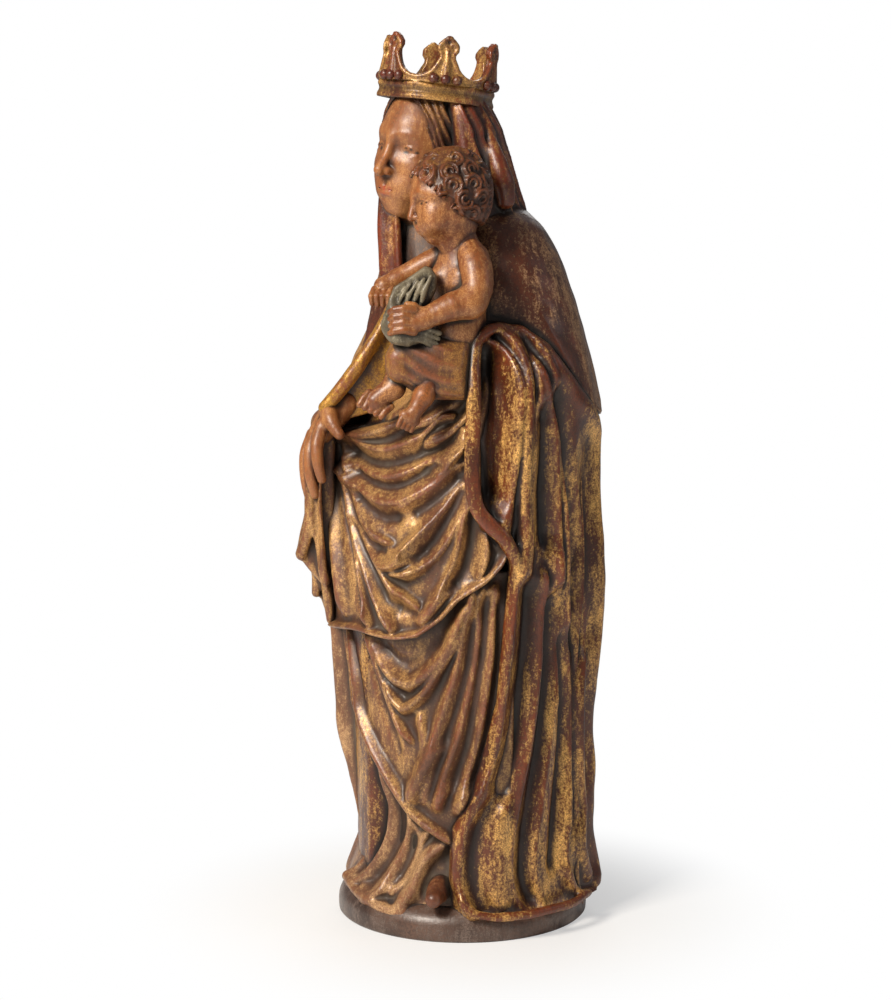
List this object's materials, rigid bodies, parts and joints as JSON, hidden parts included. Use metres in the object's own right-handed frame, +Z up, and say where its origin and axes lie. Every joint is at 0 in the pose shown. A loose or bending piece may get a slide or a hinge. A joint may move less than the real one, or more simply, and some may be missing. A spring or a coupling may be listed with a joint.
{
  "type": "madonna statue",
  "caption": "Standing crowned mother figure in gilded folded drapery on a round plinth, with a seated child holding a dove on her left arm.",
  "frame": {"origin": "centre of the plinth's underside", "axes": "+Z up, -Y is the figure's front, +X is her left, the side that the child sits on"},
  "size_m": [0.1881, 0.1898, 0.6014],
  "materials": {
    "plinth_wood": "satin varnish over dark brown paint",
    "gown_gilding": "worn gold leaf over red ground, brown glaze",
    "mantle_gilding": "worn gold leaf over red ground, brown glaze",
    "veil_gilding": "worn gold leaf over red ground, brown glaze",
    "shoe_paint": "dark brown paint, varnished",
    "mother_flesh": "flesh paint darkened by varnish",
    "hair_brown": "brown paint, varnished",
    "crown_gold": "gold leaf over red ground, worn on the edges",
    "crown_beads": "red ground showing through gold",
    "child_flesh": "flesh paint darkened by varnish",
    "loincloth_gilding": "worn gold leaf over red ground, brown glaze",
    "dove_silver": "dulled silver leaf, worn to the ground",
    "peg_wood": "bare beech",
    "pin_brass": "plain drawn pin"
  },
  "bodies": {
    "root": {"plinth": "plinth_wood", "gown": "gown_gilding", "gown_hem": "gown_gilding", "mantle_back": "mantle_gilding", "left_fall": "mantle_gilding", "lower_apron": "mantle_gilding", "upper_apron": "mantle_gilding", "left_shoulder": "mantle_gilding", "right_shoulder": "mantle_gilding", "right_sleeve": "mantle_gilding", "mantle_lap": "mantle_gilding", "mantle_right_edge": "mantle_gilding", "mantle_cascade": "mantle_gilding", "veil": "veil_gilding", "shoe": "shoe_paint", "head": "mother_flesh", "right_hand": "mother_flesh", "hair": "hair_brown", "child_hair": "hair_brown", "crown": "crown_gold", "crown_gems": "crown_beads", "child_head": "child_flesh", "child_torso": "child_flesh", "child_left_arm": "child_flesh", "child_right_arm": "child_flesh", "child_left_leg": "child_flesh", "child_right_leg": "child_flesh", "child_loincloth": "loincloth_gilding", "dove": "dove_silver", "base_pegs": "peg_wood", "head_peg": "peg_wood", "child_peg": "peg_wood", "crown_pins": "pin_brass"}
  },
  "joints": []
}
